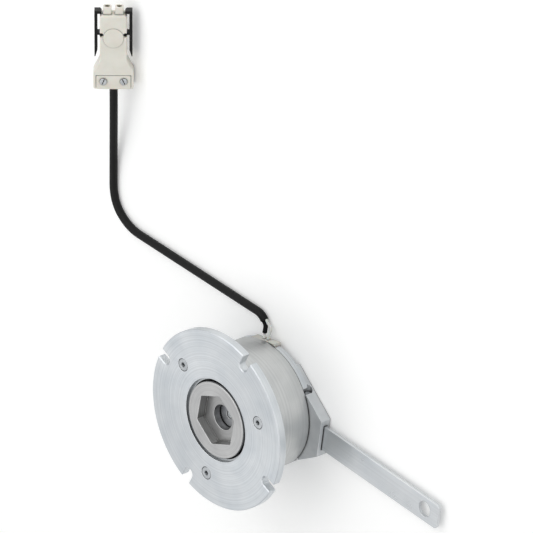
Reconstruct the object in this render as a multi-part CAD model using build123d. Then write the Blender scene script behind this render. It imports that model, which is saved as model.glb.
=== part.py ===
from build123d import *
from math import atan2, cos, degrees, hypot, radians, sin, tan
import os

# Spring-applied electromagnetic brake with a hand release lever and a short cord with a two-pole connector.
# Millimetres. The mounting face lies in the XY plane with its centre at the origin and +Z as its outward
# normal, the brake hangs below it, and +X runs along the release lever. It rests on its rear side.

# Mounting flange
flange_radius = 47.5
flange_thickness = 4.6
flange_chamfer = 0.4
opening_depth = 2.0
opening_step = 1.1
mount_slots = 4
mount_slot_width = 5.6
mount_slot_depth = 7.7
mount_slot_angle = -19.9
mount_slot_mouth = 0.5

# Screws through the flange into the collar of the housing
flange_screws = 3
flange_screw_circle = 32.8
flange_screw_angle = 26.8
flange_screw_head = 3.3
flange_screw_head_height = 3.0
flange_screw_shank = 2.0
flange_screw_length = 11.5
hex_key = 2.5
hex_key_depth = 1.8
cap_head_edge = 0.26
pan_head_round = 0.4

# Rotor
hub_radius = 20.25
hub_seat_radius = 18.0
hub_chamfer = 0.3
hex_across_flats = 25.3
hex_corner = 1.2
hex_depth = 5.0
hub_bore = 6.75
hub_lip = 1.1
rotor_disc_radius = 28.6
rotor_disc_thickness = 1.6
lining_thickness = 1.5

# Armature and air gap
armature_radius = 29.2
armature_thickness = 3.0
air_gap = 0.5
guide_pins = 3
guide_pin_circle = 26.8
guide_pin_radius = 1.3
guide_pin_angle = 86.8
guide_pin_recess = 1.2
guide_pin_grip = 5.0

# Magnet housing
housing_radius = 33.9
housing_rear = 32.6
housing_chamfer = 0.35
collar_radius = 37.4
collar_depth = 7.8
cavity_radius = 29.6
coil_groove_inner = 13.0
coil_groove_outer = 24.0
back_iron = 4.6
release_bore = 2.4

# Coil
bobbin_wall = 1.0
bobbin_front_gap = 0.4
winding_margin = 0.6

# Brake springs
brake_springs = 6
spring_circle = 8.0
spring_outer = 2.4
spring_inner = 1.6
spring_bore_depth = 11.5

# Lever block
block_thickness = 6.5
block_end = 41.6
block_end_half = 10.35
block_side_angle = 35.5
block_back = 15.6
block_edge = 0.3
block_screw_x = 20.4
block_screw_y = 17.8
block_screw_head = 3.2
block_screw_head_height = 3.0
block_screw_shank = 2.0
block_screw_grip = 9.0

# Release lever and its trunnion
lever_width = 13.8
lever_thickness = 1.9
lever_tip = 126.2
lever_inner_end = 6.5
lever_corner = 2.2
lever_hole = 4.1
lever_hole_x = 116.4
lever_edge = 0.2
pivot_x = 26.7
pivot_depth = 3.4
trunnion_radius = 2.0
trunnion_half_length = 18.4
trunnion_edge = 0.25
fork_half_width = 2.3
lever_play = 0.4
shoe_depth = 2.0

# Release bolt
release_bolt_radius = 2.0
release_head_radius = 4.5
release_head_height = 1.33
release_head_edge = 0.3
release_bolt_recess = 0.4
release_slot_width = 1.0
release_slot_depth = 0.6

# Rear plate and its screws
rear_plate_thickness = 3.4
rear_screws = 3
rear_screw_circle = 27.5
rear_screw_angle = 150.0
rear_screw_step_angle = 60.0
rear_screw_head = 4.0
rear_screw_shank = 2.0
rear_screw_grip = 8.0
rear_screw_slot = 1.0
rear_screw_slot_angle = 40.0

# Cable outlet block
outlet_angle = 104.85
outlet_inset = 0.4
outlet_length = 14.0
outlet_width = 17.2
outlet_shift = -2.8
outlet_thickness = 4.6
outlet_edge = 0.3
outlet_screw_spread = 6.4
outlet_screw_in = 9.5
outlet_screw_head = 2.2
outlet_screw_head_height = 1.3
outlet_screw_shank = 1.25
outlet_screw_grip = 2.6
outlet_screw_slot = 0.6
outlet_screw_slot_angle = 30.0

# The two leads: inside the outlet, then the straight one into its sleeve and the loose one in a bow, whose
# place is in plan from the middle of the outlet's face
lead_radius = 0.7
lead_spread = 1.5
lead_well = 22.0
lead_bend = 1.5
straight_lead_out = 0.6
straight_lead_in = 0.7
straight_lead_bends = (lead_bend, 1.2, 0.4)
loose_lead_out = 1.4
loose_lead_bow = (1.08, 6.5)
loose_lead_lift = 0.5
loose_lead_back = 2.6
loose_lead_bends = (lead_bend, 2.0, 2.2, 1.3)

# Connector, tipped onto one long edge of its foot; its place is where the cord enters
plug_place = (-123.22, 86.9)
plug_approach = 12.0
plug_heading_angle = 8.8
plug_roll_angle = 47.6
plug_width = 13.6
plug_foot_width = 20.4
plug_thickness = 9.0
plug_length = 39.9
plug_flare_start = 9.1
plug_flare_end = 15.7
plug_flare_bend = 3.0
plug_edge = 0.6
nose_width = 4.2
nose_height = 4.8
nose_length = 3.9
nose_spread = 3.03
nose_corner = 0.7
nose_edge = 0.4
contact_outer = 1.3
contact_inner = 0.8
contact_length = 12.0
contact_floor = 2.0
contact_recess = 0.5
button_radius = 5.1
button_y = 28.0
button_height = 0.25
clamp_width = 17.6
clamp_length = 7.5
clamp_thickness = 2.2
clamp_corner = 0.7
clamp_edge = 0.2
clamp_rib_inset = 0.4
clamp_rib_level = 1.05
clamp_screw_spread = 5.15
clamp_screw_y = 4.3
clamp_screw_head = 1.75
clamp_screw_head_height = 0.9
clamp_screw_shank = 1.1
clamp_screw_length = 7.0
clamp_screw_slot = 0.6
clamp_slot_angles = (68.0, 114.0)
latch_outer = 9.55
latch_thickness = 1.5
latch_height = 5.0
latch_tail = 17.2
latch_top = 41.9
latch_hook_reach = 5.9
latch_hook_thickness = 1.5
latch_hook_slope = 0.8
latch_hook_nose = 0.85
latch_hook_undercut = 0.3
latch_taper = 3.5
latch_tail_end = 1.1
latch_pivot_y = 29.5
latch_pivot_x = 6.12
latch_bead = 1.15
latch_neck = 1.1
latch_mouth = 1.7

# Cord: black jacket with a slim sleeve and a loose lead at the brake end
cord_radius = 2.1
sleeve_radius = 1.2
sleeve_offset = 0.8
sleeve_drop = 1.0
lead_offset = 1.35
cord_grip = 5.5

# Route of the sleeve and the cord, in plan from the middle of the outlet's face
sleeve_beginning = (-2.72, 1.9)
sleeve_bend = (-3.12, 6.3)
cord_beginning = (-4.96, 7.9)
cord_bends = [(-7.72, 10.3), (-108.82, 7.4), (-122.22, 16.5), (-125.22, 36.8)]

# Clearances
hub_gap = 0.75
lining_gap = 0.95
running_gap = 0.08
running_fit = 0.06
screw_clearance = 0.05
seat_clearance = 0.15
groove_clearance = 0.2
bore_clearance = 0.3
overrun = 1.0

# Radii and levels that follow from the sizes
mount_slot_circle = flange_radius - mount_slot_depth + mount_slot_width / 2
hub_opening = hub_radius + hub_gap
opening_radius = hub_opening + opening_step
lining_inner_radius = hub_radius + lining_gap
flange_rear = -flange_thickness
front_lining_top = flange_rear - running_gap
rotor_disc_top = front_lining_top - lining_thickness
rear_lining_top = rotor_disc_top - rotor_disc_thickness
rear_lining_bottom = rear_lining_top - lining_thickness
armature_top = rear_lining_bottom - running_gap
armature_bottom = armature_top - armature_thickness
pole_face = armature_bottom - air_gap
rear_face = -housing_rear
groove_floor = rear_face + back_iron
rear_plate_bottom = rear_face - rear_plate_thickness
rest_plane = rear_face - block_thickness
pivot_z = rear_face - pivot_depth
lever_top = pivot_z + lever_thickness / 2
lever_bottom = pivot_z - lever_thickness / 2
groove_radius = trunnion_radius + running_fit
release_head_top = lever_bottom - 2 * running_gap
lead_z = rear_face - outlet_thickness / 2
outlet_face = housing_radius - outlet_inset

# Route points in space, from the middle of the outlet's face to the connector
outlet_turn = radians(outlet_angle)
outlet_middle = Vector(
    outlet_face * cos(outlet_turn) - outlet_shift * sin(outlet_turn),
    outlet_face * sin(outlet_turn) + outlet_shift * cos(outlet_turn),
    0,
)
cord_level = rest_plane + cord_radius
plug_heading = radians(plug_heading_angle)
plug_along = Vector(-sin(plug_heading), cos(plug_heading), 0)
plug_roll = radians(plug_roll_angle)
plug_edge_height = (plug_foot_width / 2 - plug_edge) * sin(plug_roll)
plug_edge_height += (plug_thickness / 2 - plug_edge) * cos(plug_roll) + plug_edge
plug_entry = outlet_middle + Vector(*plug_place, rest_plane + plug_edge_height)
sleeve_start = outlet_middle + Vector(*sleeve_beginning, lead_z - sleeve_drop)
sleeve_corner = outlet_middle + Vector(*sleeve_bend, cord_level)
cord_start = outlet_middle + Vector(*cord_beginning, cord_level)
cord_points = [outlet_middle + Vector(*bend, cord_level) for bend in cord_bends]
cord_points.append(plug_entry - plug_along * plug_approach)


def disc(radius, top, bottom):
    return Pos(0, 0, bottom) * extrude(Circle(radius), top - bottom)


def ring(outer, inner, top, bottom):
    return disc(outer, top, bottom) - disc(inner, top, bottom)


def around(count, circle, start, step=None):
    """Places on a circle about the brake's axis."""
    step = 360 / count if step is None else step
    return [Rot(0, 0, start + i * step) * Pos(circle, 0, 0) for i in range(count)]


def box_between(low, high):
    size = [b - a for a, b in zip(low, high)]
    middle = [(a + b) / 2 for a, b in zip(low, high)]
    return Pos(*middle) * Box(*size)


def socket_screw(head, head_height, shank, length, key, key_depth):
    """A cap screw with a hexagon socket, its head's top at z = 0 and its shank downwards."""
    screw = disc(head, 0, -head_height) + disc(shank, -head_height, -length)
    screw = chamfer(screw.edges().group_by(Axis.Z)[-1], cap_head_edge)
    socket = RegularPolygon(key / 2, 6, major_radius=False)
    return screw - Pos(0, 0, -key_depth) * extrude(socket, key_depth)


def slotted_screw(head, head_height, shank, length, slot, slot_angle):
    """A pan head screw with a slot, the underside of its head at z = 0 and its shank downwards."""
    screw = disc(head, head_height, 0)
    screw = fillet(screw.edges().group_by(Axis.Z)[-1], min(pan_head_round, head_height / 2))
    screw += disc(shank, 0, -length)
    cut = Rot(0, 0, slot_angle) * Box(3 * head, slot, head_height)
    return screw - Pos(0, 0, head_height) * cut


def tube(path, radius):
    """A round solid along a path of straight runs and tangent arcs."""
    section = Plane(path @ 0, z_dir=path % 0) * Circle(radius)
    return sweep(section, path=path)


def route(points, name):
    """A path of straight runs joined by tangent arcs, each as large as its two runs allow."""
    radii = []
    for before, corner, after in zip(points, points[1:], points[2:]):
        shorter = min((corner - before).length, (after - corner).length)
        turn = (corner - before).get_angle(after - corner)
        radii.append(0.45 * shorter / tan(radians(turn) / 2))
    path = FilletPolyline(*points, radius=radii)
    print(name, "length", round(path.length, 1), "radii", [round(r, 1) for r in radii])
    return path


def make_mounting_flange():
    slot = Pos(mount_slot_circle, 0) * Circle(mount_slot_width / 2)
    slot += Pos(mount_slot_circle + flange_radius / 2, 0) * Rectangle(flange_radius, mount_slot_width)
    outline = Circle(flange_radius)
    for i in range(mount_slots):
        outline -= Rot(0, 0, mount_slot_angle + i * 360 / mount_slots) * slot
    mouth = outline.vertices().filter_by(lambda v: abs(hypot(v.X, v.Y) - flange_radius) < 0.01)
    outline = fillet(mouth, mount_slot_mouth)
    flange = Pos(0, 0, flange_rear) * extrude(outline, flange_thickness)
    rim = flange.edges().filter_by(GeomType.CIRCLE).filter_by(lambda e: abs(e.radius - flange_radius) < 0.01)
    flange = chamfer(rim, flange_chamfer)
    flange -= disc(opening_radius, 0, -opening_depth)
    flange -= disc(hub_opening, 0, flange_rear)
    for place in around(flange_screws, flange_screw_circle, flange_screw_angle):
        flange -= place * disc(flange_screw_head + seat_clearance, 0, -flange_screw_head_height)
        flange -= place * disc(flange_screw_shank + seat_clearance, 0, flange_rear)
    return flange


def make_flange_screws():
    screw = socket_screw(
        flange_screw_head, flange_screw_head_height, flange_screw_shank, flange_screw_length, hex_key, hex_key_depth
    )
    return [place * screw for place in around(flange_screws, flange_screw_circle, flange_screw_angle)]


def make_rotor_hub():
    hub_bottom = rear_lining_top - hub_lip
    hub = disc(hub_radius, 0, rotor_disc_top)
    hub = chamfer(hub.edges().group_by(Axis.Z)[-1], hub_chamfer)
    hub += disc(hub_seat_radius, rotor_disc_top, hub_bottom)
    hexagon = RegularPolygon(hex_across_flats / 2, 6, major_radius=False)
    first = hexagon.vertices()[0]
    start = degrees(atan2(first.Y, first.X))
    hexagon = Rot(0, 0, flange_screw_angle - start) * fillet(hexagon.vertices(), hex_corner)
    hub -= Pos(0, 0, -hex_depth) * extrude(hexagon, hex_depth)
    return hub - disc(hub_bore, 0, hub_bottom)


def make_armature_plate():
    plate = disc(armature_radius, armature_top, armature_bottom)
    plate -= disc(release_bolt_radius + screw_clearance, armature_top, armature_bottom)
    for place in around(guide_pins, guide_pin_circle, guide_pin_angle):
        plate -= place * disc(guide_pin_radius + running_gap, armature_top, armature_bottom)
    return plate


def make_guide_pins():
    pin = disc(guide_pin_radius, armature_top - guide_pin_recess, pole_face - guide_pin_grip)
    return [place * pin for place in around(guide_pins, guide_pin_circle, guide_pin_angle)]


def make_release_bolt():
    head_bottom = release_head_top - release_head_height
    bolt = disc(release_bolt_radius, armature_top - release_bolt_recess, release_head_top)
    head = disc(release_head_radius, release_head_top, head_bottom)
    head = chamfer(head.edges().group_by(Axis.Z)[0], release_head_edge)
    slot = Pos(0, 0, head_bottom) * Box(release_slot_width, 3 * release_head_radius, 2 * release_slot_depth)
    return bolt + head - slot


def make_magnet_housing():
    collar_bottom = flange_rear - collar_depth
    housing = disc(collar_radius, flange_rear, collar_bottom) + disc(housing_radius, collar_bottom, rear_face)
    housing = chamfer(housing.edges().group_by(Axis.Z)[0], housing_chamfer)
    housing -= disc(cavity_radius, flange_rear, pole_face)
    housing -= ring(coil_groove_outer, coil_groove_inner, pole_face, groove_floor)
    housing -= disc(release_bore, pole_face, rear_face)
    for place in around(brake_springs, spring_circle, 0):
        housing -= place * disc(spring_outer + bore_clearance, pole_face, pole_face - spring_bore_depth)
    for place in around(guide_pins, guide_pin_circle, guide_pin_angle):
        housing -= place * disc(guide_pin_radius + screw_clearance, pole_face, pole_face - guide_pin_grip)
    for place in around(flange_screws, flange_screw_circle, flange_screw_angle):
        housing -= place * disc(flange_screw_shank + screw_clearance, flange_rear, -flange_screw_length)
    for place in rear_screw_places():
        housing -= place * disc(rear_screw_shank + screw_clearance, rear_face + rear_screw_grip, rear_face)
    for place in block_screw_places():
        housing -= place * disc(block_screw_shank + screw_clearance, rear_face + block_screw_grip, rear_face)
    for place in outlet_screw_places():
        housing -= place * disc(outlet_screw_shank + screw_clearance, rear_face + outlet_screw_grip, rear_face)
    for place in lead_places(lead_well):
        housing -= place * disc(lead_radius + bore_clearance, groove_floor, rear_face)
    return housing


def make_coil_bobbin():
    top = pole_face - bobbin_front_gap
    bottom = groove_floor + bore_clearance
    inner = coil_groove_inner + groove_clearance
    outer = coil_groove_outer - groove_clearance
    bobbin = ring(outer, inner, top, bottom)
    return bobbin - ring(outer, inner + bobbin_wall, top - bobbin_wall, bottom + bobbin_wall)


def make_coil_winding():
    top = pole_face - bobbin_front_gap - bobbin_wall
    bottom = groove_floor + bore_clearance + bobbin_wall
    inner = coil_groove_inner + groove_clearance + bobbin_wall
    outer = coil_groove_outer - groove_clearance - winding_margin
    return ring(outer, inner, top, bottom)


def make_brake_springs():
    spring = ring(spring_outer, spring_inner, armature_bottom, pole_face - spring_bore_depth)
    return [place * spring for place in around(brake_springs, spring_circle, 0)]


def block_outline(grow=0.0):
    """The lever block's outline: a straight end, two sides that widen towards the axis, and a straight back."""
    back = block_back - grow
    half_end = block_end_half + grow
    half_back = half_end + (block_end - back) * tan(radians(block_side_angle))
    corners = [(block_end, -half_end), (block_end, half_end), (back, half_back), (back, -half_back)]
    return make_face(Polyline(*corners, close=True))


def block_screw_places():
    return [Pos(block_screw_x, side * block_screw_y, 0) for side in (-1, 1)]


def make_lever_block():
    block = Pos(0, 0, rest_plane) * extrude(block_outline(), block_thickness)
    block = chamfer(block.edges().group_by(Axis.Z)[0], block_edge)
    half = lever_width / 2 + lever_play
    block -= box_between(
        (block_back - overrun, -half, lever_bottom - lever_play),
        (block_end + overrun, half, lever_top + lever_play),
    )
    groove_length = 2 * housing_radius
    block -= Pos(pivot_x, 0, pivot_z) * Rot(90, 0, 0) * Cylinder(groove_radius, groove_length)
    block -= box_between(
        (pivot_x - groove_radius, -groove_length / 2, pivot_z),
        (pivot_x + groove_radius, groove_length / 2, rear_face),
    )
    for place in block_screw_places():
        head_top = rest_plane + block_screw_head_height
        block -= place * disc(block_screw_head + seat_clearance, head_top, rest_plane)
        block -= place * disc(block_screw_shank + seat_clearance, rear_face, rest_plane)
    return block


def make_block_screws():
    screw = socket_screw(
        block_screw_head,
        block_screw_head_height,
        block_screw_shank,
        block_thickness + block_screw_grip,
        hex_key,
        hex_key_depth,
    )
    return [place * Pos(0, 0, rest_plane) * Rot(180, 0, 0) * screw for place in block_screw_places()]


def make_pivot_shoes():
    """Two bearing shoes that close the trunnion's groove against the housing."""
    shoes = []
    for side in (-1, 1):
        low, high = lever_width / 2 + 2 * lever_play, trunnion_half_length
        shoe = box_between(
            (pivot_x - trunnion_radius, low, rear_face - shoe_depth), (pivot_x + trunnion_radius, high, rear_face)
        )
        shoe -= Pos(pivot_x, (low + high) / 2, pivot_z) * Rot(90, 0, 0) * Cylinder(groove_radius, high - low + overrun)
        shoes.append(shoe if side > 0 else mirror(shoe, Plane.XZ))
    return shoes


def make_lever_trunnion():
    trunnion = Pos(pivot_x, 0, pivot_z) * Rot(90, 0, 0) * Cylinder(trunnion_radius, 2 * trunnion_half_length)
    trunnion = chamfer(trunnion.edges().filter_by(GeomType.CIRCLE), trunnion_edge)
    half = lever_width / 2
    return trunnion - box_between(
        (pivot_x - trunnion_radius, -half, lever_bottom), (pivot_x + trunnion_radius, half, lever_top)
    )


def make_release_lever():
    length = lever_tip + lever_inner_end
    middle = (lever_tip - lever_inner_end) / 2
    outline = Pos(middle, 0) * RectangleRounded(length, lever_width, lever_corner)
    fork = Circle(fork_half_width)
    fork += Pos(-lever_inner_end / 2, 0) * Rectangle(lever_inner_end + overrun, 2 * fork_half_width)
    lever = Pos(0, 0, lever_bottom) * extrude(outline - fork, lever_thickness)
    lever = chamfer(lever.edges().group_by(Axis.Z)[-1] + lever.edges().group_by(Axis.Z)[0], lever_edge)
    return lever - Pos(lever_hole_x, 0, 0) * disc(lever_hole, lever_top, lever_bottom)


def rear_screw_places():
    return around(rear_screws, rear_screw_circle, rear_screw_angle, rear_screw_step_angle)


def make_rear_plate():
    plate = disc(housing_radius, rear_face, rear_plate_bottom)
    plate = chamfer(plate.edges().group_by(Axis.Z)[0], housing_chamfer)
    plate -= Pos(0, 0, rest_plane) * extrude(block_outline(seat_clearance), block_thickness)
    plate -= box_between(
        (-lever_inner_end - 2 * overrun, -lever_width / 2 - lever_play, rest_plane),
        (block_back, lever_width / 2 + lever_play, lever_top + lever_play),
    )
    plate -= disc(release_bore, rear_face, rear_plate_bottom)
    plate -= outlet_frame() * box_between(
        (outlet_face - outlet_length - seat_clearance, -outlet_width / 2 - seat_clearance, rest_plane),
        (2 * housing_radius, outlet_width / 2 + seat_clearance, rear_face),
    )
    for place in rear_screw_places():
        plate -= place * disc(rear_screw_shank + seat_clearance, rear_face, rear_plate_bottom)
    return plate


def make_rear_screws():
    head_height = rear_plate_bottom - rest_plane
    length = rear_plate_thickness + rear_screw_grip
    screws = []
    for i, place in enumerate(rear_screw_places()):
        slot_angle = rear_screw_slot_angle * i
        screw = slotted_screw(
            rear_screw_head, head_height, rear_screw_shank, length, rear_screw_slot, slot_angle
        )
        screws.append(place * Pos(0, 0, rear_plate_bottom) * Rot(180, 0, 0) * screw)
    return screws


def outlet_frame():
    """A frame with X out of the cable outlet's face and its origin on the brake's axis."""
    return Rot(0, 0, outlet_angle) * Pos(0, outlet_shift, 0)


def lead_places(reach):
    return [outlet_frame() * Pos(reach, side * lead_spread, 0) for side in (-1, 1)]


def outlet_screw_places():
    reach = outlet_face - outlet_screw_in
    return [outlet_frame() * Pos(reach, side * outlet_screw_spread, 0) for side in (-1, 1)]


def make_outlet_block():
    bottom = rear_face - outlet_thickness
    block = box_between(
        (outlet_face - outlet_length, -outlet_width / 2, bottom), (outlet_face, outlet_width / 2, rear_face)
    )
    block = chamfer(block.edges().group_by(Axis.Z)[0], outlet_edge)
    hole = lead_radius + seat_clearance
    for side in (-1, 1):
        way = Pos(outlet_face, side * lead_spread, lead_z) * Rot(0, -90, 0)
        block -= way * extrude(Circle(hole), outlet_face - lead_well)
        block -= box_between(
            (lead_well - lead_radius - bore_clearance, side * lead_spread - hole, lead_z - hole),
            (lead_well + 2 * lead_bend, side * lead_spread + hole, rear_face),
        )
    block = outlet_frame() * block
    for place in outlet_screw_places():
        block -= place * disc(outlet_screw_shank + seat_clearance, rear_face, bottom)
    return block


def make_outlet_screws():
    screw = slotted_screw(
        outlet_screw_head,
        outlet_screw_head_height,
        outlet_screw_shank,
        outlet_thickness + outlet_screw_grip,
        outlet_screw_slot,
        outlet_screw_slot_angle,
    )
    bottom = rear_face - outlet_thickness
    return [place * Pos(0, 0, bottom) * Rot(180, 0, 0) * screw for place in outlet_screw_places()]


def start_direction():
    """The cord's direction in plan where its jacket begins."""
    return (cord_points[0] - cord_start).normalized()


def beside_cord(offset, back=0.0):
    """A point beside the jacket's start: offset towards the outside of the bend, and back along the cord."""
    along = start_direction()
    across = Vector(along.Y, -along.X, 0)
    return cord_start + across * offset - along * back


def in_block(side, reach, height):
    """A point on a lead's line inside the outlet block."""
    sideways = outlet_shift + side * lead_spread
    x = reach * cos(outlet_turn) - sideways * sin(outlet_turn)
    return Vector(x, reach * sin(outlet_turn) + sideways * cos(outlet_turn), height)


def lead_inside(side):
    """The points of a lead from the coil to the outlet's face, before its free stretch."""
    return [in_block(side, lead_well, groove_floor + bore_clearance / 2), in_block(side, lead_well, lead_z)]


def make_lead_sleeve():
    end = beside_cord(-sleeve_offset)
    corner = sleeve_corner + end - cord_start
    return tube(route([sleeve_start, corner, end], "lead sleeve"), sleeve_radius)


def make_straight_lead():
    """The lead that runs from the coil through the outlet straight into the slim sleeve."""
    corner = sleeve_corner + beside_cord(-sleeve_offset) - cord_start
    toward = (corner - sleeve_start).normalized()
    outside = in_block(1, outlet_face + straight_lead_out, lead_z)
    points = lead_inside(1) + [outside, sleeve_start - toward * straight_lead_in, sleeve_start]
    return tube(FilletPolyline(*points, radius=list(straight_lead_bends)), lead_radius)


def make_loose_lead():
    """The lead that bows out beside the sleeve and goes into the end of the jacket."""
    points = lead_inside(-1) + [
        in_block(-1, outlet_face + loose_lead_out, lead_z),
        outlet_middle + Vector(*loose_lead_bow, cord_level + loose_lead_lift),
        beside_cord(lead_offset, loose_lead_back),
        beside_cord(lead_offset),
    ]
    return tube(FilletPolyline(*points, radius=list(loose_lead_bends)), lead_radius)


def make_cord():
    end = plug_entry + plug_along * cord_grip
    return tube(route([cord_start, *cord_points, end], "cord"), cord_radius)


def plug_frame():
    """A frame with Y from the cord's entry to the noses and z = 0 on the back of the connector."""
    heading = Pos(*plug_entry) * Rot(0, 0, plug_heading_angle)
    return heading * Rot(0, plug_roll_angle, 0) * Pos(0, 0, -plug_thickness / 2)


def plug_outline():
    half, foot = plug_width / 2, plug_foot_width / 2
    corners = [
        (-foot, 0),
        (foot, 0),
        (foot, plug_flare_start),
        (half, plug_flare_end),
        (half, plug_length),
        (-half, plug_length),
        (-half, plug_flare_end),
        (-foot, plug_flare_start),
    ]
    outline = make_face(Polyline(*corners, close=True))
    ends = outline.vertices().filter_by(lambda v: v.Y < 0.1 or v.Y > plug_length - 0.1)
    outline = fillet(ends, 2 * plug_edge)
    bends = outline.vertices().filter_by(lambda v: abs(v.Y - plug_flare_start) < 0.01)
    return fillet(bends, plug_flare_bend)


def make_plug_housing():
    middle = plug_thickness / 2
    body = extrude(plug_outline(), plug_thickness)
    body = fillet(body.edges().group_by(Axis.Z)[-1] + body.edges().group_by(Axis.Z)[0], plug_edge)
    body += Pos(0, button_y, plug_thickness) * extrude(Circle(button_radius), button_height)
    for side in (-1, 1):
        nose = Pos(side * nose_spread, plug_length + nose_length / 2, middle) * Box(nose_width, nose_length, nose_height)
        nose = fillet(nose.edges().filter_by(Axis.Y), nose_corner)
        body += chamfer(nose.edges().group_by(Axis.Y)[-1], nose_edge)
    reach = plug_length + nose_length
    for side in (-1, 1):
        contact = Pos(side * nose_spread, reach, middle) * Rot(90, 0, 0)
        body -= contact * extrude(Circle(contact_outer + screw_clearance), contact_length + 2 * contact_recess)
        socket = Pos(side * latch_pivot_x, latch_pivot_y, middle)
        body -= socket * Cylinder(latch_bead + running_fit, plug_thickness + overrun)
        body -= socket * Pos(side * latch_bead, 0, 0) * Box(2 * latch_bead, latch_mouth, plug_thickness + overrun)
    pocket = (clamp_width / 2 + seat_clearance, clamp_length + seat_clearance)
    body -= box_between(
        (-pocket[0], -overrun, plug_thickness - clamp_thickness), (pocket[0], pocket[1], plug_thickness + overrun)
    )
    channel = cord_radius + seat_clearance
    body -= Pos(0, 0, middle) * Rot(-90, 0, 0) * extrude(Circle(channel), cord_grip)
    body -= box_between((-channel, -overrun, middle), (channel, cord_grip, plug_thickness))
    for x in (-clamp_screw_spread, clamp_screw_spread):
        body -= Pos(x, clamp_screw_y, 0) * disc(
            clamp_screw_shank + screw_clearance, plug_thickness, plug_thickness - clamp_screw_length
        )
    return plug_frame() * body


def make_plug_clamp():
    middle = plug_thickness / 2
    size = Pos(0, clamp_length / 2) * RectangleRounded(clamp_width, clamp_length, clamp_corner)
    plate = Pos(0, 0, plug_thickness - clamp_thickness) * extrude(size, clamp_thickness)
    plate = chamfer(plate.edges().group_by(Axis.Z)[-1], clamp_edge)
    plate += box_between(
        (-cord_radius, clamp_rib_inset, middle + clamp_rib_level),
        (cord_radius, cord_grip - clamp_rib_inset, plug_thickness - clamp_thickness),
    )
    plate -= Pos(0, -overrun, middle) * Rot(-90, 0, 0) * extrude(Circle(cord_radius + screw_clearance), clamp_length)
    for x in (-clamp_screw_spread, clamp_screw_spread):
        plate -= Pos(x, clamp_screw_y, 0) * disc(clamp_screw_shank + seat_clearance, plug_thickness, middle)
    return plug_frame() * plate


def make_clamp_screws():
    screws = []
    for x, slot_angle in zip((-clamp_screw_spread, clamp_screw_spread), clamp_slot_angles):
        screw = slotted_screw(
            clamp_screw_head,
            clamp_screw_head_height,
            clamp_screw_shank,
            clamp_screw_length,
            clamp_screw_slot,
            slot_angle,
        )
        screws.append(plug_frame() * Pos(x, clamp_screw_y, plug_thickness) * screw)
    return screws


def make_plug_contacts():
    """Two turned socket contacts that sit in the noses."""
    reach = plug_length + nose_length - contact_recess
    body = extrude(Circle(contact_outer), contact_length)
    body -= extrude(Circle(contact_inner), contact_length - contact_floor)
    contacts = []
    for side in (-1, 1):
        place = Pos(side * nose_spread, reach, plug_thickness / 2) * Rot(90, 0, 0)
        contacts.append(plug_frame() * place * body)
    return contacts


def make_latch(side):
    """A rocking side latch: hook above the body, tail beside it, and a bead that snaps into the body."""
    outer, inner = latch_outer, latch_outer - latch_thickness
    corners = [
        (outer, latch_tail),
        (outer, latch_top),
        (latch_hook_reach + latch_hook_slope, latch_top),
        (latch_hook_reach, latch_top - latch_hook_nose),
        (latch_hook_reach + latch_hook_undercut, latch_top - latch_hook_thickness),
        (inner, latch_top - latch_hook_thickness),
        (inner, latch_tail + latch_taper),
        (inner + latch_tail_end, latch_tail),
    ]
    profile = make_face(Polyline(*corners, close=True))
    neck = Rectangle(inner - latch_pivot_x, latch_neck, align=(Align.MIN, Align.CENTER))
    profile += Pos(latch_pivot_x, latch_pivot_y) * (neck + Circle(latch_bead))
    latch = Pos(0, 0, (plug_thickness - latch_height) / 2) * extrude(profile, latch_height)
    latch = latch if side > 0 else mirror(latch, Plane.YZ)
    return plug_frame() * latch


nodes = {
    "mounting_flange": make_mounting_flange(),
    "flange_screws": make_flange_screws(),
    "rotor_hub": make_rotor_hub(),
    "rotor_disc": ring(rotor_disc_radius, hub_seat_radius, rotor_disc_top, rear_lining_top),
    "front_lining": ring(rotor_disc_radius, lining_inner_radius, front_lining_top, rotor_disc_top),
    "rear_lining": ring(rotor_disc_radius, lining_inner_radius, rear_lining_top, rear_lining_bottom),
    "armature_plate": make_armature_plate(),
    "guide_pins": make_guide_pins(),
    "release_bolt": make_release_bolt(),
    "magnet_housing": make_magnet_housing(),
    "coil_bobbin": make_coil_bobbin(),
    "coil_winding": make_coil_winding(),
    "brake_springs": make_brake_springs(),
    "lever_block": make_lever_block(),
    "block_screws": make_block_screws(),
    "pivot_shoes": make_pivot_shoes(),
    "lever_trunnion": make_lever_trunnion(),
    "release_lever": make_release_lever(),
    "rear_plate": make_rear_plate(),
    "rear_screws": make_rear_screws(),
    "outlet_block": make_outlet_block(),
    "outlet_screws": make_outlet_screws(),
    "straight_lead": make_straight_lead(),
    "loose_lead": make_loose_lead(),
    "lead_sleeve": make_lead_sleeve(),
    "cord": make_cord(),
    "plug_housing": make_plug_housing(),
    "plug_contacts": make_plug_contacts(),
    "plug_clamp": make_plug_clamp(),
    "clamp_screws": make_clamp_screws(),
    "left_latch": make_latch(-1),
    "right_latch": make_latch(1),
}

os.makedirs("parts", exist_ok=True)
for name, shape in nodes.items():
    export_step(Compound(children=shape) if isinstance(shape, list) else shape, f"parts/{name}.step")
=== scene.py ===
# Electromagnetic brake with a hand release: finishes, cord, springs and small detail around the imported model
import math

import bpy
from mathutils import Matrix, Vector


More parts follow.
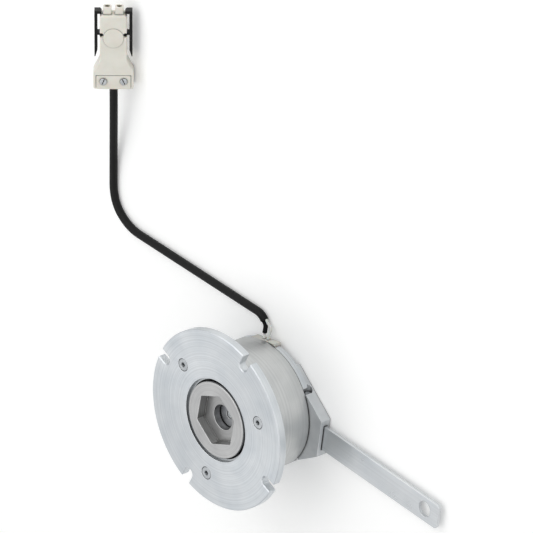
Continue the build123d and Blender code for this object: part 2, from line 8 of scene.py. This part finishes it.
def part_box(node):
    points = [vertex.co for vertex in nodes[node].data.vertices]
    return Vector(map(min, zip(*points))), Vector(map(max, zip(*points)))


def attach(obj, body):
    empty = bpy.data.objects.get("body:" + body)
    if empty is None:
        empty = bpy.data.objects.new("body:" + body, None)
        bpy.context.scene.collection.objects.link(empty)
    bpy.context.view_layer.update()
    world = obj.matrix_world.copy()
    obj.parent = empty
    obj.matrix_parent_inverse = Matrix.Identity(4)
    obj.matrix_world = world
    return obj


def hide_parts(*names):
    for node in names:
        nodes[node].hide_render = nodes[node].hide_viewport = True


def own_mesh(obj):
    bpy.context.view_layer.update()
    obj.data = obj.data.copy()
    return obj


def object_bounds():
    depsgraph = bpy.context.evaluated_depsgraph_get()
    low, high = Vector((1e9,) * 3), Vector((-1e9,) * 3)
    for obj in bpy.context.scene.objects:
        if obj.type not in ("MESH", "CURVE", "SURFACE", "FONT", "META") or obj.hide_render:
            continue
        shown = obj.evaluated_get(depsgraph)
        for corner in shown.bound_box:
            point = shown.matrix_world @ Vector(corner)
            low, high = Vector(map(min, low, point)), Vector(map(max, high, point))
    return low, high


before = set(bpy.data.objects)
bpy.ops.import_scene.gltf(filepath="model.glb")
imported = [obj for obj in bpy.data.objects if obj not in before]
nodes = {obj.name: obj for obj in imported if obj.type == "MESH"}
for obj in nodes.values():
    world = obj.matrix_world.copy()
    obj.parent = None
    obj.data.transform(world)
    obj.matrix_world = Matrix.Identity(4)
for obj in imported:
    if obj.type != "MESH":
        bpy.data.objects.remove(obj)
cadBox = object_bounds()
mm = 0.001
tableLevel = cadBox[0].z  # the surface that the brake and its cord lie on
scene = bpy.context.scene
print("stage: packed model loaded,", len(nodes), "nodes")


def linearColour(hexText):
    channels = [int(hexText[i : i + 2], 16) / 255 for i in (1, 3, 5)]
    return (*[c / 12.92 if c <= 0.04045 else ((c + 0.055) / 1.055) ** 2.4 for c in channels], 1.0)


def addNode(tree, kind, inputs=None, **settings):
    # a socket among the inputs is linked, and any other value is set
    node = tree.nodes.new("ShaderNode" + kind)
    for name, value in settings.items():
        setattr(node, name, value)
    for place, value in (inputs or {}).items():
        if isinstance(value, bpy.types.NodeSocket):
            tree.links.new(value, node.inputs[place])
        else:
            node.inputs[place].default_value = value
    return node


def calculate(tree, operation, first, second=0.0):
    return addNode(tree, "Math", {0: first, 1: second}, operation=operation).outputs[0]


def ramp(tree, value, start, stop, low=0.0, high=1.0):
    # low at start and high at stop, and level beyond them
    return addNode(tree, "MapRange", {0: value, 1: start, 2: stop, 3: low, 4: high}).outputs[0]


def mixColours(tree, share, first, second, blend="MIX"):
    # a share of 0 gives the first colour and 1 the second; each is hex text or a socket
    inputs = {0: share}
    for place, colour in ((6, first), (7, second)):
        inputs[place] = linearColour(colour) if isinstance(colour, str) else colour
    return addNode(tree, "Mix", inputs, data_type="RGBA", blend_type=blend).outputs[2]


def heightOf(tree, vector):
    return addNode(tree, "SeparateXYZ", {0: vector}).outputs["Z"]


def finishMaterial(name, build, look):
    material = bpy.data.materials.new(name)
    material.use_nodes = True
    tree = material.node_tree
    tree.nodes.clear()
    shader = build(tree, look)
    addNode(tree, "OutputMaterial", {"Surface": shader.outputs[0]})
    return material


def dress(piece, material):
    piece.data.materials.clear()
    piece.data.materials.append(material)


# Camera: the drawing's own direction, turned so that the release lever runs down to the right
picture = {
    "azimuth": 131.4,  # degrees, like the next two
    "elevation": 37.7,
    "roll": -111.0,
    "lens": 500.0,  # millimetres, like the sensor; long and far off, as the drawing has no perspective
    "sensor": 36.0,
    "widthMm": 266.5,
    "rightMm": 25.5,  # picture centre, right of and above the mounting face's centre
    "upMm": 76.9,
    "nearM": 0.1,
    "farM": 100.0,
}


def makeCamera():
    camera = bpy.data.objects.new("camera", bpy.data.cameras.new("camera"))
    scene.collection.objects.link(camera)
    camera.data.lens = picture["lens"]
    camera.data.sensor_width = picture["sensor"]
    camera.data.clip_start = picture["nearM"]
    camera.data.clip_end = picture["farM"]
    turn = Matrix.Rotation(math.radians(picture["azimuth"]), 4, "Z")
    tilt = Matrix.Rotation(math.radians(90 - picture["elevation"]), 4, "X")
    roll = Matrix.Rotation(math.radians(picture["roll"]), 4, "Z")
    aim = turn @ tilt @ roll
    right, up, back = (aim.to_3x3().col[i] for i in range(3))
    away = picture["widthMm"] * picture["lens"] / picture["sensor"]
    place = (right * picture["rightMm"] + up * picture["upMm"] + back * away) * mm
    camera.matrix_world = Matrix.Translation(place) @ aim
    scene.camera = camera


makeCamera()

# Cord: black jacket from the leads at the cable outlet to the connector's clamp, in millimetres
cordRoute = {
    "start": (-10.84, 41.0, -37.0),
    "points": [
        (-13.6, 43.4, -37.0),
        (-19.6, 43.23, -37.0),  # the long straight keeps its bends near its ends
        (-98.5, 40.96, -37.0),
        (-114.7, 40.5, -37.0),
        (-128.1, 49.6, -37.0),
        (-131.1, 69.9, -37.0),
        (-129.18, 89.02, -32.89),  # halfway up to the connector
        (-127.26, 108.14, -28.78),
        (-128.64, 117.03, -28.78),  # straight into the clamp
    ],
    "end": (-129.94, 125.43, -28.78),
    "radiusMm": 2.1,
    "lengthM": 0.1965,
}


def makeCord():
    curve = bpy.data.curves.new("cordJacket", "CURVE")
    curve.dimensions = "3D"
    spline = curve.splines.new("NURBS")
    route = [cordRoute["start"], *cordRoute["points"], cordRoute["end"]]
    spline.points.add(len(route) - 1)
    for point, place in zip(spline.points, route):
        point.co = (*[c * mm for c in place], 1.0)
        point.radius = cordRoute["radiusMm"] * mm
    spline.order_u = 3
    spline.use_endpoint_u = True
    spline.resolution_u = 24
    curve.bevel_depth = 1.0  # each point's own radius gives the thickness
    curve.bevel_resolution = 10
    curve.use_fill_caps = True
    cord = bpy.data.objects.new("cordJacket", curve)
    scene.collection.objects.link(cord)
    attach(cord, "brake_body")
    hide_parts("cord")
    return cord


cordJacket = makeCord()
print("stage: camera and cord")

# Floor, world and lamps: a plain pale table under soft studio light
studio = {
    "floorColour": "#F8F8F7",
    "floorGlow": 0.16,  # lifts the table towards the drawing's white paper, as a light table would
    "floorM": 60.0,
    "floorGapMm": 0.02,  # the table lies this far below the brake, so that no two faces fall together
    "skyTop": "#FFFFFF",
    "skySide": "#BEC2C7",
    "skyFade": (-0.2, 0.9),  # heights on the unit sky where the side's colour ends and the top's is full
    "skyStrength": 0.74,
    "backdrop": 0.97,  # the sky's strength where it is seen
}

# Each lamp is a soft disc: azimuth and elevation in degrees, distance and size in metres, strength in watts
lamps = {
    "keyLamp": {"azimuth": 197, "elevation": 32, "away": 0.95, "size": 1.2, "watts": 2.9},
    "fillLamp": {"azimuth": 105, "elevation": 30, "away": 1.1, "size": 0.9, "watts": 0.9},
    "topLamp": {"azimuth": 300, "elevation": 72, "away": 0.95, "size": 0.9, "watts": 1.4},
}


def isSeen(tree):
    # 1 for what the camera sees, straight or in a mirroring surface, and 0 for light on the object
    rays = addNode(tree, "LightPath").outputs
    either = calculate(tree, "MAXIMUM", rays["Is Camera Ray"], rays["Is Glossy Ray"])
    return calculate(tree, "MAXIMUM", either, rays["Is Transmission Ray"])


def buildTable(tree, look):
    paint = addNode(tree, "BsdfDiffuse", {"Color": linearColour(look["floorColour"])})
    glow = calculate(tree, "MULTIPLY", isSeen(tree), look["floorGlow"])
    lift = addNode(tree, "Emission", {"Strength": glow})
    return addNode(tree, "AddShader", {0: paint.outputs[0], 1: lift.outputs[0]})


def makeFloor():
    mesh = bpy.data.meshes.new("floor")
    half = studio["floorM"] / 2
    level = tableLevel - studio["floorGapMm"] * mm
    corners = [(x, y, level) for x, y in ((-half, -half), (half, -half), (half, half), (-half, half))]
    mesh.from_pydata(corners, [], [(0, 1, 2, 3)])
    floor = bpy.data.objects.new("floor", mesh)
    scene.collection.objects.link(floor)
    dress(floor, finishMaterial("matt pale table", buildTable, studio))


def makeWorld():
    world = bpy.data.worlds.new("studio")
    world.use_nodes = True
    tree = world.node_tree
    tree.nodes.clear()
    height = heightOf(tree, addNode(tree, "TexCoord").outputs["Generated"])
    colour = mixColours(tree, ramp(tree, height, *studio["skyFade"]), studio["skySide"], studio["skyTop"])
    soft = addNode(tree, "Background", {"Color": colour, "Strength": studio["skyStrength"]})
    seen = addNode(tree, "Background", {"Color": colour, "Strength": studio["backdrop"]})
    both = addNode(tree, "MixShader", {0: isSeen(tree), 1: soft.outputs[0], 2: seen.outputs[0]})
    addNode(tree, "OutputWorld", {"Surface": both.outputs[0]})
    scene.world = world


def makeLamp(name, look):
    lamp = bpy.data.lights.new(name, "AREA")
    lamp.shape = "DISK"
    lamp.size = look["size"]
    lamp.energy = look["watts"]
    holder = bpy.data.objects.new(name, lamp)
    scene.collection.objects.link(holder)
    around = math.radians(look["azimuth"])
    above = math.radians(look["elevation"])
    flat = math.cos(above)
    toward = Vector((math.sin(around) * flat, -math.cos(around) * flat, math.sin(above)))
    holder.location = toward * look["away"]
    holder.rotation_mode = "QUATERNION"
    holder.rotation_quaternion = toward.to_track_quat("Z", "Y")


makeFloor()
makeWorld()
for lampName, lampLook in lamps.items():
    makeLamp(lampName, lampLook)
scene.view_settings.view_transform = "Standard"
print("stage: floor and light")

# Patterns shared by the finishes, each in millimetres of the real surface
noiseSpan = (0.3, 0.7)  # nearly all values of a noise lie in it
edgeWearAndSheenSpan = (0.995, 0.85)  # how well a rounded edge's normal agrees with the face's: open face, sharp edge


def surfacePoint(tree):
    place = addNode(tree, "TexCoord").outputs["Object"]
    return addNode(tree, "VectorMath", {0: place, "Scale": 1 / mm}, operation="SCALE").outputs[0]


def blotches(tree, point, sizeMm, detail, stretch=(1, 1, 1)):
    # soft uneven patches of about sizeMm, longer along an axis where stretch says so
    scale = [1 / (sizeMm * s) for s in stretch]
    placed = addNode(tree, "Mapping", {"Vector": point, "Scale": scale}).outputs[0]
    return addNode(tree, "TexNoise", {"Vector": placed, "Scale": 1.0, "Detail": detail}).outputs[0]


def turnedLines(tree, point, feedMm):
    # a lathe tool's feed: rings on a face and hoops on a side, as both follow radius plus height
    flat = addNode(tree, "VectorMath", {0: point, 1: (1, 1, 0)}, operation="MULTIPLY").outputs[0]
    radius = addNode(tree, "VectorMath", {0: flat}, operation="LENGTH").outputs["Value"]
    reach = calculate(tree, "ADD", radius, heightOf(tree, point))
    lines = {"W": calculate(tree, "DIVIDE", reach, feedMm), "Scale": 1.0, "Detail": 1.5}
    return addNode(tree, "TexNoise", lines, noise_dimensions="1D").outputs[0]


def grain(tree, point, look):
    # long thin scratches along X, turned about the vertical
    turn = (0, 0, math.radians(-look["grainTurnDeg"]))
    turned = addNode(tree, "Mapping", {"Vector": point, "Rotation": turn}).outputs[0]
    scratch = (look["grainLengthMm"], look["grainMm"], look["grainMm"])
    return blotches(tree, turned, 1.0, detail=3.0, stretch=scratch)


def inWorld(tree, direction):
    settings = {"vector_type": "VECTOR", "convert_from": "OBJECT", "convert_to": "WORLD"}
    return addNode(tree, "VectorTransform", {0: direction}, **settings).outputs[0]


def roundAxis(tree, point):
    # the direction that turned grooves run in, round the brake's axis
    along = addNode(tree, "VectorMath", {0: (0, 0, 1), 1: point}, operation="CROSS_PRODUCT").outputs[0]
    return inWorld(tree, along)


def roundedEdges(tree, widthMm):
    # the normal that a broken edge of that width would have
    return addNode(tree, "Bevel", {"Radius": widthMm * mm}, samples=12).outputs[0]


def edgeWearAndSheen(tree, rounded):
    # 1 on an edge and 0 on an open face; the edge colour laid there is partly rubbed wear and partly a painted
    # highlight
    straight = addNode(tree, "NewGeometry").outputs["Normal"]
    same = addNode(tree, "VectorMath", {0: rounded, 1: straight}, operation="DOT_PRODUCT").outputs["Value"]
    return ramp(tree, same, *edgeWearAndSheenSpan)


def unshadedShare(tree, look):
    # 1 on an open surface, falling to 0 deep in a gap or corner, where the colour is darkened with painted
    # shade; the look's range says how open 0 and 1 are
    share = addNode(tree, "AmbientOcclusion", {"Distance": look["cornerShadeMm"] * mm}, samples=8).outputs["AO"]
    return ramp(tree, share, *look["cornerShadeRange"])


def sharedInputs(tree, look, height, layers=()):
    # what every finish has: uneven tone, edges partly rubbed and partly a painted highlight, painted shade in
    # the corners, and a bump from height
    point = surfacePoint(tree)
    cloud = blotches(tree, point, look["blotchMm"], detail=look["cloudDetail"])
    colour = mixColours(tree, ramp(tree, cloud, *noiseSpan), look["colour"], look["secondColour"])
    for layer in layers:
        colour = mixColours(tree, 1.0, colour, layer, "MULTIPLY")
    rounded = roundedEdges(tree, look["edgeRoundMm"])
    # edges take the edge colour, partly rubbed wear and partly a painted highlight
    colour = mixColours(tree, edgeWearAndSheen(tree, rounded), colour, look["edgeColour"])
    # painted shade: gaps and corners darken towards the corner colour, where less light reaches
    colour = mixColours(tree, unshadedShare(tree, look), look["cornerShadeColour"], colour)
    patches = blotches(tree, point, look["patchShare"] * look["blotchMm"], detail=3.0)
    smooth, dull = (look["roughness"] + change for change in look["roughChange"])
    relief = {
        "Strength": look["bump"],
        "Distance": look["reliefMm"] * mm,
        "Height": height,
        "Normal": rounded,
    }
    return {
        "Base Color": colour,
        "Roughness": ramp(tree, patches, *noiseSpan, smooth, dull),
        "Normal": addNode(tree, "Bump", relief).outputs[0],
    }


def metalShader(tree, look, height, tangent=None, tone=None, pocketShade=None):
    # plated or bare metal: tone darkens its lines, painted shade darkens a pocket, and tangent is the way the
    # lines run
    layers = []
    if tone is not None:
        layers.append(ramp(tree, tone, *noiseSpan, look["lineTone"], 1.0))
    if pocketShade is not None:
        layers.append(pocketShade)
    inputs = sharedInputs(tree, look, height, layers)
    inputs["Metallic"] = look["metallic"]
    if tangent is not None:
        inputs["Tangent"] = tangent
        inputs["Anisotropic"] = look["anisotropic"]
    return addNode(tree, "BsdfPrincipled", inputs)


def plasticShader(tree, look, height):
    # moulded plastic, which lets light a little way in
    inputs = sharedInputs(tree, look, height)
    inputs["IOR"] = look["ior"]
    inputs["Specular IOR Level"] = look["shine"]
    inputs["Subsurface Weight"] = look["depth"]
    inputs["Subsurface Scale"] = look["depthMm"] * mm
    return addNode(tree, "BsdfPrincipled", inputs)


# Mounting flange and rear plate: steel turned on a lathe, then bright zinc plated.
# The plating gives a pale bluish grey with faint rings, and its edges are lighter, partly rubbed plating and
# partly a painted highlight.
turnedZinc = {
    "colour": "#DCDFE1",
    "secondColour": "#CCD1D5",
    "edgeColour": "#EDEFF0",
    # colour of the painted shade in gaps and corners
    "cornerShadeColour": "#4C4B48",
    "lineTone": 0.88,
    "metallic": 0.9,
    "roughness": 0.34,
    "roughChange": (-0.05, 0.06),
    "anisotropic": 0.45,
    "blotchMm": 16.0,
    "cloudDetail": 4.0,
    "patchShare": 0.3,  # smoother and duller patches, as a share of the blotches' size
    "edgeRoundMm": 0.3,
    "cornerShadeMm": 1.6,
    "cornerShadeRange": (0.25, 0.85),
    "feedMm": 0.8,  # a real feed of 0.15 mm wouldn't show in the picture
    "bump": 0.35,
    "reliefMm": 0.05,
}


def buildTurned(tree, look):
    point = surfacePoint(tree)
    lines = turnedLines(tree, point, look["feedMm"])
    return metalShader(tree, look, lines, roundAxis(tree, point), lines)


# Magnet housing: the same lathe work with a satin zinc-nickel plating, a little warmer and duller
satinZinc = dict(
    turnedZinc,
    colour="#D3D4D3",
    secondColour="#C4C6C6",
    roughness=0.42,
    feedMm=1.0,
    lineTone=0.9,
)

# Hub: free-cutting steel, turned and broached, left bare with a thin oil film; its hexagon and bore below the
# face get painted shade
bareSteel = dict(
    turnedZinc,
    colour="#C8C8C7",
    secondColour="#B8B8B8",
    # lighter edges, partly rubbed and partly a painted highlight along the hexagon's mouth
    edgeColour="#E9E9E8",
    edgeRoundMm=0.4,
    metallic=0.95,
    feedMm=0.7,
    lineTone=0.86,
    pocketShadeTone=0.75,
    pocketShadeMm=(1.5, 0.1),  # below the hub's face: where the painted shade is full and where it starts
)


def buildHubSteel(tree, look):
    # the face shines from its last cut, and the broached hexagon and drilled bore below it are darkened with
    # painted shade, as in a recess
    point = surfacePoint(tree)
    lines = turnedLines(tree, point, look["feedMm"])
    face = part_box("rotor_hub")[1].z / mm
    full, start = (face - depth for depth in look["pocketShadeMm"])
    pocketShade = ramp(tree, heightOf(tree, point), full, start, look["pocketShadeTone"], 1.0)
    return metalShader(tree, look, lines, roundAxis(tree, point), lines, pocketShade)


# Rotor disc and armature plate: sheet steel ground flat, so straight scratches cross it
groundSteel = dict(
    bareSteel,
    colour="#A9ABAD",
    secondColour="#9A9CA0",
    roughness=0.3,
    grainMm=0.5,  # real scratches are finer than 0.05 mm, too fine to show
    grainLengthMm=30.0,
    grainTurnDeg=25.0,
)


def buildGround(tree, look):
    scratches = grain(tree, surfacePoint(tree), look)
    return metalShader(tree, look, scratches, tone=scratches)


# Release lever: cold-rolled strip, stamped, deburred lengthwise and zinc plated
leverZinc = dict(
    turnedZinc,
    colour="#DDDFE0",
    secondColour="#CFD3D6",
    roughness=0.32,
    metallic=0.92,
    grainMm=0.45,  # brushing lines are finer than 0.1 mm, too fine to show
    grainLengthMm=55.0,
    grainTurnDeg=0.0,
    grainWay=(1.0, 0.06, 0.04),  # a little off the length, as no grain runs straight out of the end face
    lineTone=0.86,
    blotchMm=22.0,
    bump=0.3,
)


def buildBrushed(tree, look):
    strokes = grain(tree, surfacePoint(tree), look)
    return metalShader(tree, look, strokes, inWorld(tree, look["grainWay"]), strokes)


# Lever block: die-cast zinc alloy, shot-blasted, so it has an even grit and no lines
castAlloy = dict(
    turnedZinc,
    colour="#D6D8D9",
    secondColour="#C7CACC",
    roughness=0.48,
    metallic=0.85,
    gritMm=0.55,  # blasted pits are nearer 0.2 mm, too fine to show
    bump=0.5,
    reliefMm=0.06,
    blotchMm=9.0,
)


def buildBlasted(tree, look):
    grit = blotches(tree, surfacePoint(tree), look["gritMm"], detail=2.0)
    return metalShader(tree, look, grit)


# Screws: rolled steel with bright zinc; the thread below the head shows as hoops
screwZinc = dict(
    turnedZinc,
    colour="#C7CACC",
    secondColour="#B4B8BB",
    roughness=0.28,
    blotchMm=3.0,
    edgeRoundMm=0.15,
    # painted shade in gaps and corners: its reach, range and colour
    cornerShadeMm=0.9,
    cornerShadeRange=(0.5, 0.9),
    cornerShadeColour="#2B2A28",
    pitchMm=0.7,
    threadFade=(0.05, 0.2),  # a face's slope where its hoops begin to fade and where they are gone
    bump=0.6,
    reliefMm=0.12,
)


def buildScrew(tree, look):
    turns = calculate(tree, "MULTIPLY", heightOf(tree, surfacePoint(tree)), 2 * math.pi / look["pitchMm"])
    ridges = calculate(tree, "SINE", turns)
    rise = calculate(tree, "ABSOLUTE", heightOf(tree, addNode(tree, "NewGeometry").outputs["Normal"]))
    side = ramp(tree, rise, *look["threadFade"], 1.0, 0.0)
    return metalShader(tree, look, calculate(tree, "MULTIPLY", ridges, side))


# Trunnion, bearing shoes and guide pins: hardened steel, centreless ground to a soft mirror
groundPin = dict(
    bareSteel,
    colour="#C4C5C6",
    secondColour="#B5B7B9",
    roughness=0.18,
    blotchMm=4.0,
    edgeRoundMm=0.12,
)

# Springs: patented spring wire, dark from drawing soap and heat
springWire = dict(
    groundSteel,
    colour="#6F7276",
    secondColour="#5C5F63",
    edgeColour="#8C8F92",
    roughness=0.33,
    blotchMm=2.0,
    edgeRoundMm=0.05,
    grainMm=0.3,  # drawing lines are finer than 0.05 mm, too fine to show
    grainLengthMm=18.0,
)

# Winding: enamelled copper wire laid turn by turn; the pitch is drawn at the wire's own size
copperWire = dict(
    turnedZinc,
    colour="#B4663A",
    secondColour="#9C5230",
    edgeColour="#D08A5C",
    roughness=0.26,
    metallic=1.0,
    wireMm=0.45,
    bump=0.9,
    reliefMm=0.2,
    blotchMm=6.0,
)


def buildWinding(tree, look):
    point = surfacePoint(tree)
    turns = calculate(tree, "MULTIPLY", heightOf(tree, point), math.pi / look["wireMm"])
    hoops = calculate(tree, "ABSOLUTE", calculate(tree, "SINE", turns))
    return metalShader(tree, look, hoops, roundAxis(tree, point), hoops)


# Contacts: turned brass under a thin coat of tin, a soft warm grey
tinnedBrass = dict(
    bareSteel,
    colour="#C9BC96",
    secondColour="#B6A678",
    edgeColour="#E0C988",
    roughness=0.3,
    blotchMm=2.0,
    edgeRoundMm=0.12,
)

# Connector body and clamp: natural nylon from a spark-eroded mould, so warm white and faintly grained
naturalNylon = {
    "colour": "#E7E4DA",
    "secondColour": "#DFDBCF",
    "edgeColour": "#D6D3C8",
    # colour of the painted shade in gaps and corners
    "cornerShadeColour": "#45423C",
    "roughness": 0.44,
    "roughChange": (-0.06, 0.06),
    "ior": 1.53,
    "shine": 0.5,
    "depth": 0.15,
    "depthMm": 1.2,
    "blotchMm": 7.0,
    "cloudDetail": 2.0,
    "patchShare": 0.4,
    "edgeRoundMm": 0.2,
    "cornerShadeMm": 0.9,
    "cornerShadeRange": (0.4, 0.95),
    "gritMm": 0.45,  # spark texture is nearer 0.1 mm, too fine to show
    "bump": 0.25,
    "reliefMm": 0.03,
}


def buildMoulded(tree, look):
    grit = blotches(tree, surfacePoint(tree), look["gritMm"], detail=1.0)
    return plasticShader(tree, look, grit)


# Cable outlet: glass-filled nylon, greyer and duller than the connector
filledNylon = dict(
    naturalNylon,
    colour="#D2D1CA",
    secondColour="#C5C4BD",
    roughness=0.55,
    gritMm=0.6,
    bump=0.4,
)

# Bobbin: unfilled polyester, slightly yellow from the winding heat
bobbinPolyester = dict(naturalNylon, colour="#E2DCC6", secondColour="#D6CDB0", roughness=0.4)

# Latches: black acetal, slick and springy, with greyer edges, partly rubbed and partly a painted highlight
blackAcetal = dict(
    naturalNylon,
    colour="#0A0A0B",
    secondColour="#0F0F10",
    edgeColour="#1C1C1D",
    cornerShadeColour="#050505",
    roughness=0.45,
    ior=1.48,
    shine=0.25,
    depth=0.0,
)

# Leads: soft PVC insulation, near white and slightly glossy
leadPvc = dict(
    naturalNylon,
    colour="#DADAD6",
    secondColour="#CDCDC8",
    edgeColour="#C4C4BF",
    roughness=0.38,
    ior=1.54,
    edgeRoundMm=0.05,
    cornerShadeMm=0.7,
)

# Cord jacket: black PVC, extruded, with a satin skin and a faint orange peel
jacketPvc = dict(
    naturalNylon,
    colour="#0A0A0A",
    secondColour="#0E0E0E",
    edgeColour="#151515",
    cornerShadeColour="#050505",
    roughness=0.55,
    ior=1.54,
    shine=0.2,
    depth=0.0,
    edgeRoundMm=0.1,
    blotchMm=5.0,
    gritMm=1.1,  # drawn coarser than the real skin, which would look even
    bump=0.3,
)

# Sleeve: black yarn woven over one lead; the braid's lozenges are drawn at 0.8 mm
wovenSleeve = dict(
    naturalNylon,
    colour="#0E0E0E",
    secondColour="#131313",
    edgeColour="#1A1A1A",
    cornerShadeColour="#050505",
    roughness=0.75,
    shine=0.2,
    depth=0.0,
    braidMm=0.8,
    bump=0.9,
    reliefMm=0.15,
    edgeRoundMm=0.05,
)


def buildWoven(tree, look):
    point = surfacePoint(tree)
    strands = []
    for slant in (45, -45):
        turn = (0, 0, math.radians(slant))
        placed = addNode(tree, "Mapping", {"Vector": point, "Rotation": turn}).outputs[0]
        strand = {"Vector": placed, "Scale": 1 / look["braidMm"], "Distortion": 0.6}
        strands.append(addNode(tree, "TexWave", strand, bands_direction="X").outputs["Fac"])
    return plasticShader(tree, look, calculate(tree, "MAXIMUM", *strands))


# Friction lining: pressed phenolic, mottled brown by its fibres and dark grit
liningMix = dict(
    naturalNylon,
    colour="#4A4038",
    secondColour="#332C27",
    edgeColour="#6A5D50",
    cornerShadeColour="#1C1815",
    roughness=0.82,
    depth=0.0,
    gritMm=0.7,
    bump=0.7,
    reliefMm=0.08,
    blotchMm=1.6,
)

# Every finish: its material's name, then its builder, its look and the pieces that wear it
finishes = {
    "turned zinc-plated steel": (buildTurned, turnedZinc, ["mounting_flange", "rear_plate"]),
    "turned satin zinc-nickel steel": (buildTurned, satinZinc, ["magnet_housing"]),
    "turned bare steel": (buildHubSteel, bareSteel, ["rotor_hub"]),
    "ground sheet steel": (buildGround, groundSteel, ["rotor_disc", "armature_plate"]),
    "brushed zinc-plated strip": (buildBrushed, leverZinc, ["release_lever"]),
    "die-cast zinc alloy": (buildBlasted, castAlloy, ["lever_block"]),
    "rolled zinc-plated screw steel": (
        buildScrew,
        screwZinc,
        ["flange_screws", "block_screws", "rear_screws", "outlet_screws", "clamp_screws", "release_bolt"],
    ),
    "ground pin steel": (buildTurned, groundPin, ["lever_trunnion", "pivot_shoes", "guide_pins"]),
    "enamelled copper winding": (buildWinding, copperWire, ["coil_winding"]),
    "tinned brass": (buildTurned, tinnedBrass, ["plug_contacts"]),
    "natural nylon, moulded": (buildMoulded, naturalNylon, ["plug_housing", "plug_clamp"]),
    "glass-filled nylon, moulded": (buildMoulded, filledNylon, ["outlet_block"]),
    "polyester, moulded": (buildMoulded, bobbinPolyester, ["coil_bobbin"]),
    "black acetal, moulded": (buildMoulded, blackAcetal, ["left_latch", "right_latch"]),
    "white PVC insulation": (buildMoulded, leadPvc, ["straight_lead", "loose_lead"]),
    "black woven sleeve": (buildWoven, wovenSleeve, ["lead_sleeve"]),
    "pressed friction lining": (buildMoulded, liningMix, ["front_lining", "rear_lining"]),
}

for finish, (build, look, names) in finishes.items():
    material = finishMaterial(finish, build, look)
    for name in names:
        dress(nodes[name], material)
dress(cordJacket, finishMaterial("black PVC jacket", buildMoulded, jacketPvc))
print("stage: finishes")

# Brake springs: six helical compression springs with closed ends, in place of their plain tubes
brakeSpring = {
    "count": 6,
    "circleMm": 8.0,
    "outerMm": 2.4,
    "wireMm": 0.8,
    "turns": 8.0,
    "closedTurns": 1.0,
    "stepsPerTurn": 28,
    "sides": 8,
}


def springPoints(look, low, high):
    # the wire's centre line: closed turns at each end, an even pitch between them
    turns = look["turns"]
    closedTurns = look["closedTurns"]
    steps = int(turns * look["stepsPerTurn"])
    half = look["wireMm"] / 2
    closed = closedTurns * look["wireMm"]
    body = (high - low) - 2 * half - 2 * closed
    points = []
    for i in range(steps + 1):
        turn = turns * i / steps
        fromEnd = min(turn, turns - turn)
        if fromEnd < closedTurns:
            rise = fromEnd * look["wireMm"]
            level = low + half + rise if turn < turns / 2 else high - half - rise
        else:
            level = low + half + closed + body * (turn - closedTurns) / (turns - 2 * closedTurns)
        points.append((2 * math.pi * turn, level))
    return points


def makeSprings(look):
    low, high = (corner.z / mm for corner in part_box("brake_springs"))
    points = springPoints(look, low, high)
    sides = look["sides"]
    half = look["wireMm"] / 2
    coil = look["outerMm"] - half
    vertices = []
    faces = []
    for k in range(look["count"]):
        seat = 2 * math.pi * k / look["count"]
        middle = Vector((look["circleMm"] * math.cos(seat), look["circleMm"] * math.sin(seat), 0))
        first = len(vertices)
        for angle, level in points:
            outward = Vector((math.cos(angle), math.sin(angle), 0))
            core = middle + outward * coil + Vector((0, 0, level))
            for s in range(sides):
                around = 2 * math.pi * s / sides
                offset = outward * math.cos(around) + Vector((0, 0, math.sin(around)))
                vertices.append((core + offset * half) * mm)
        for i in range(len(points) - 1):
            for s in range(sides):
                a = first + i * sides + s
                b = first + i * sides + (s + 1) % sides
                faces.append((a, b, b + sides, a + sides))
        faces.append([first + s for s in reversed(range(sides))])
        faces.append([first + (len(points) - 1) * sides + s for s in range(sides)])
    mesh = bpy.data.meshes.new("brakeSprings")
    mesh.from_pydata(vertices, [], faces)
    mesh.shade_smooth()
    springs = bpy.data.objects.new("brakeSprings", mesh)
    scene.collection.objects.link(springs)
    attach(springs, "brake_body")
    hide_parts("brake_springs")
    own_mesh(springs)
    return springs


dress(makeSprings(brakeSpring), finishMaterial("drawn spring wire", buildGround, springWire))
print("stage: springs")
